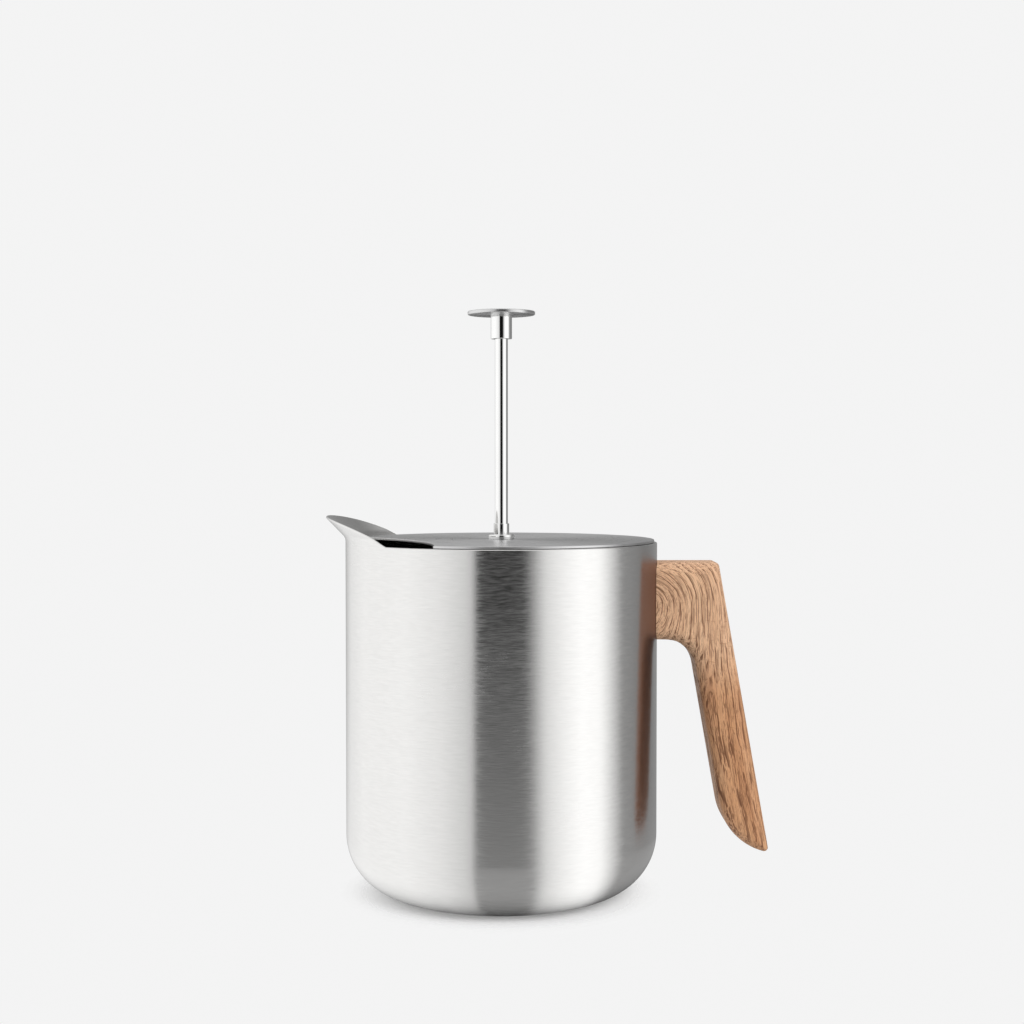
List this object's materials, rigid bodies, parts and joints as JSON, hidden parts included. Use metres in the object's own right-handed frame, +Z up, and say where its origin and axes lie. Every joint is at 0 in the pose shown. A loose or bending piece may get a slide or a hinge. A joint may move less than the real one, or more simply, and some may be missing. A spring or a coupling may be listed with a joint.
{
  "type": "french press",
  "caption": "Double-walled steel coffee jug with a drawn spout and leaning oak handle, loose steel lid with a pouring notch, and a rod plunger with a black filter ring",
  "frame": {"origin": "centre of the jug's base, on the surface that the press stands on", "axes": "+Z up along the plunger rod, +X towards the handle, -X towards the spout, -Y towards the side that the picture shows"},
  "size_m": [0.17, 0.12, 0.2238],
  "materials": {
    "brushed_shell": "stainless steel brushed around the jug",
    "brushed_liner": "stainless steel liner, finely brushed around the bore",
    "brushed_base": "stainless steel disc, turned finish",
    "brushed_lid": "stainless steel sheet with a fine concentric brush",
    "polished_steel": "mirror-polished stainless steel",
    "bracket_steel": "plain machined stainless steel",
    "screw_steel": "turned steel screws with a hexagon socket",
    "mesh_steel": "fine woven stainless steel mesh",
    "punched_steel": "punched stainless steel sheet",
    "oak": "oiled oak with open pores and long dark grain",
    "black_plastic": "satin black moulded polypropylene",
    "black_silicone": "black food-grade silicone"
  },
  "bodies": {
    "jug": {"outer_shell": "brushed_shell", "inner_shell": "brushed_liner", "base_plate": "brushed_base", "handle_bracket": "bracket_steel", "handle": "oak", "handle_screws": "screw_steel"},
    "lid_guide": {"guide_tube": "polished_steel", "guide_collar": "polished_steel", "guide_nut": "polished_steel"},
    "lid": {"lid_plate": "brushed_lid"},
    "plunger": {"plunger_rod": "polished_steel", "knob_disc": "brushed_lid", "knob_sleeve": "polished_steel", "knob_boss": "bracket_steel", "filter_hub": "polished_steel", "filter_frame": "black_plastic", "seal_ring": "black_silicone", "filter_mesh": "mesh_steel", "spreader_plate": "punched_steel", "filter_grid": "black_plastic", "clamp_washer": "bracket_steel", "clamp_nut": "bracket_steel"}
  },
  "joints": [
    {"name": "lid_lift", "type": "slide", "parent": "jug", "child": "lid_guide", "axis": [0, 0, 1], "range_m": [0, 0.072]},
    {"name": "lid_turn", "type": "hinge", "parent": "lid_guide", "child": "lid", "pos_m": [0, 0, 0.1356], "axis": [0, 0, 1], "continuous": true},
    {"name": "plunger_press", "type": "slide", "parent": "lid_guide", "child": "plunger", "axis": [0, 0, 1], "range_m": [-0.075, 0]}
  ]
}
